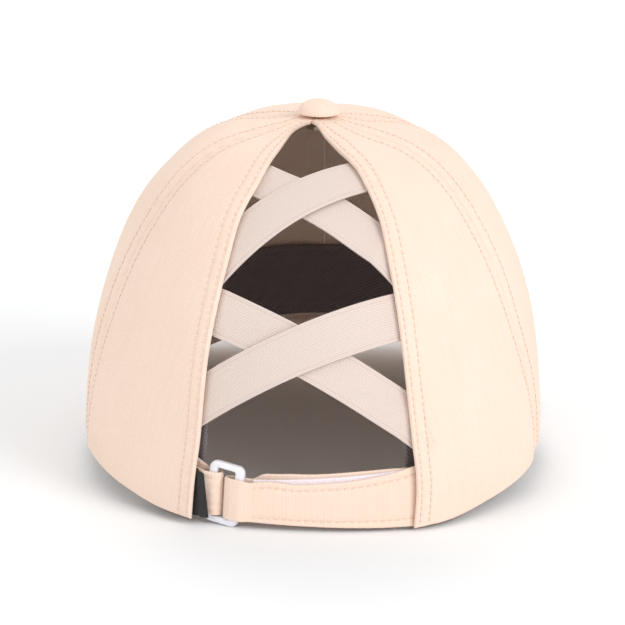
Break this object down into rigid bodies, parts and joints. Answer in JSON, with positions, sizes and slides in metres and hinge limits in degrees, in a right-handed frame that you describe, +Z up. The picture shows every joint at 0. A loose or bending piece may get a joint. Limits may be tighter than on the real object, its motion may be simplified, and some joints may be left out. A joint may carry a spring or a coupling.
{
  "type": "ponytail baseball cap",
  "caption": "Cloth baseball cap with a curved brim and a tall rear opening for a ponytail, spanned by crossed elastic straps and closed below by a strap through a ring.",
  "frame": {"origin": "centre of the cap's box, on the surface that the cap rests on", "axes": "+Z up, the brim towards -Y, the ponytail opening towards +Y and the wearer's left towards +X"},
  "size_m": [0.1738, 0.2554, 0.134],
  "materials": {
    "crown_cloth": "matt pale peach woven polyester",
    "elastic": "ribbed pinkish beige woven elastic",
    "sweatband_cloth": "dark grey soft cloth",
    "label_cloth": "black woven tape",
    "fastening": "whitish hook and loop tape",
    "ring_plastic": "semi-gloss white",
    "stud_metal": "plain"
  },
  "bodies": {
    "root": {"crown_back_left": "crown_cloth", "crown_back_right": "crown_cloth", "crown_side_left": "crown_cloth", "crown_side_right": "crown_cloth", "crown_front_left": "crown_cloth", "crown_front_right": "crown_cloth", "brim": "crown_cloth", "sweatband": "sweatband_cloth", "top_button": "crown_cloth", "button_stud": "stud_metal", "cross_strap_upper_outer": "elastic", "cross_strap_upper_inner": "elastic", "cross_strap_lower_outer": "elastic", "cross_strap_lower_inner": "elastic", "closure_strap": "crown_cloth", "closure_tab": "crown_cloth", "fastening_patch": "fastening", "side_label": "label_cloth", "closure_ring": "ring_plastic"}
  },
  "joints": []
}
